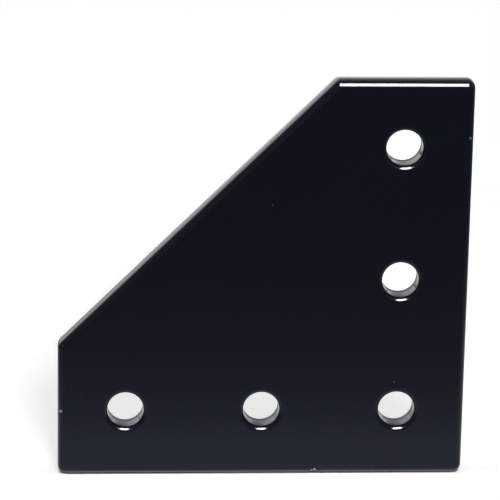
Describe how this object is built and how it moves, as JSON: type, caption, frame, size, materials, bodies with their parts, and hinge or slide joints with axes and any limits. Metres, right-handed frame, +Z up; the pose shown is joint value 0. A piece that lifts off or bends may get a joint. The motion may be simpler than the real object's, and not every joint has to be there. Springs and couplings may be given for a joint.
{
  "type": "profile corner bracket",
  "caption": "Flat corner plate with a sloping side, rounded edges and a row of screw holes along each arm, for joining slotted profiles at a right angle.",
  "frame": {"origin": "below the middle of the plate, on the surface that its lower side stands on", "axes": "+X along the lower side towards the square corner, -Y out of the front face, +Z up along the upright side"},
  "size_m": [0.06, 0.004, 0.06],
  "materials": {
    "black_coat": "gloss"
  },
  "bodies": {
    "root": {"corner_plate": "black_coat"}
  },
  "joints": []
}
